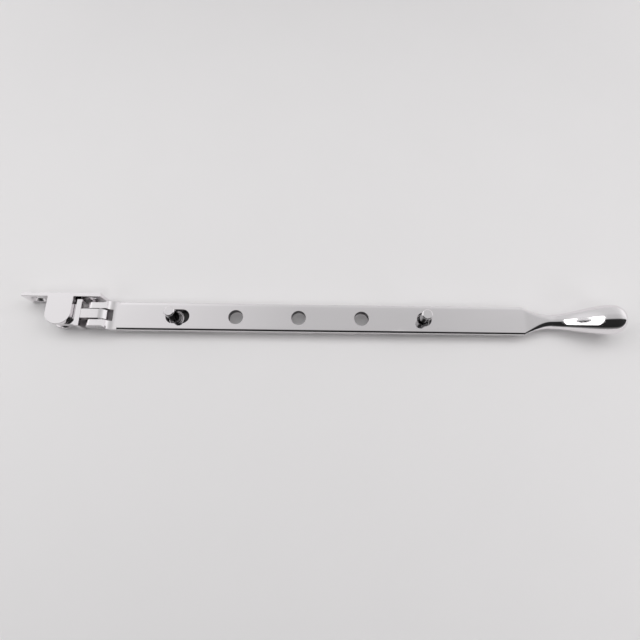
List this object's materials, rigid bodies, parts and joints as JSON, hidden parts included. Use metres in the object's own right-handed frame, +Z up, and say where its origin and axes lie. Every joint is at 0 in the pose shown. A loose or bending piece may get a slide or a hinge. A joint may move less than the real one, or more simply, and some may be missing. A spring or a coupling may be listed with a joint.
{
  "type": "casement window stay",
  "caption": "Casement stay: a screw-on bracket with a two-way swivel, a flat holed bar with a bulb handle, and pegs on plates that the bar drops over.",
  "frame": {"origin": "centre of the bracket's back face, where it lies on the casement", "axes": "+X along the bar from the bracket to the bulb, +Y out of the bracket's back face into the casement, +Z up, out of the pegs' tops"},
  "size_m": [0.2849, 0.0168, 0.0159],
  "materials": {
    "bracket_chrome": "polished",
    "swivel_chrome": "polished",
    "bar_chrome": "polished",
    "peg_chrome": "polished",
    "plate_steel": "dull, darkened",
    "pin_steel": "turned and polished flush"
  },
  "bodies": {
    "bracket": {"bracket": "bracket_chrome", "swivel_pin": "pin_steel"},
    "swivel": {"swivel_block": "swivel_chrome"},
    "bar": {"stay_bar": "bar_chrome", "fork_pin": "pin_steel"},
    "inner_peg": {"inner_peg_plate": "plate_steel", "inner_peg": "peg_chrome"},
    "outer_peg": {"outer_peg_plate": "plate_steel", "outer_peg": "peg_chrome"}
  },
  "joints": [
    {"name": "swivel_swing", "type": "hinge", "parent": "bracket", "child": "swivel", "pos_m": [0, -0.0098, 0], "axis": [0, 0, -1], "range_deg": [0, 180]},
    {"name": "bar_lift", "type": "hinge", "parent": "swivel", "child": "bar", "pos_m": [0.0181, -0.0098, 0], "axis": [0, -1, 0], "range_deg": [-90, 90]},
    {"name": "inner_peg_release", "type": "slide", "parent": "bar", "child": "inner_peg", "axis": [0, 0, -1], "range_m": [0, 0.014]},
    {"name": "outer_peg_release", "type": "slide", "parent": "bar", "child": "outer_peg", "axis": [0, 0, -1], "range_m": [0, 0.014]}
  ]
}
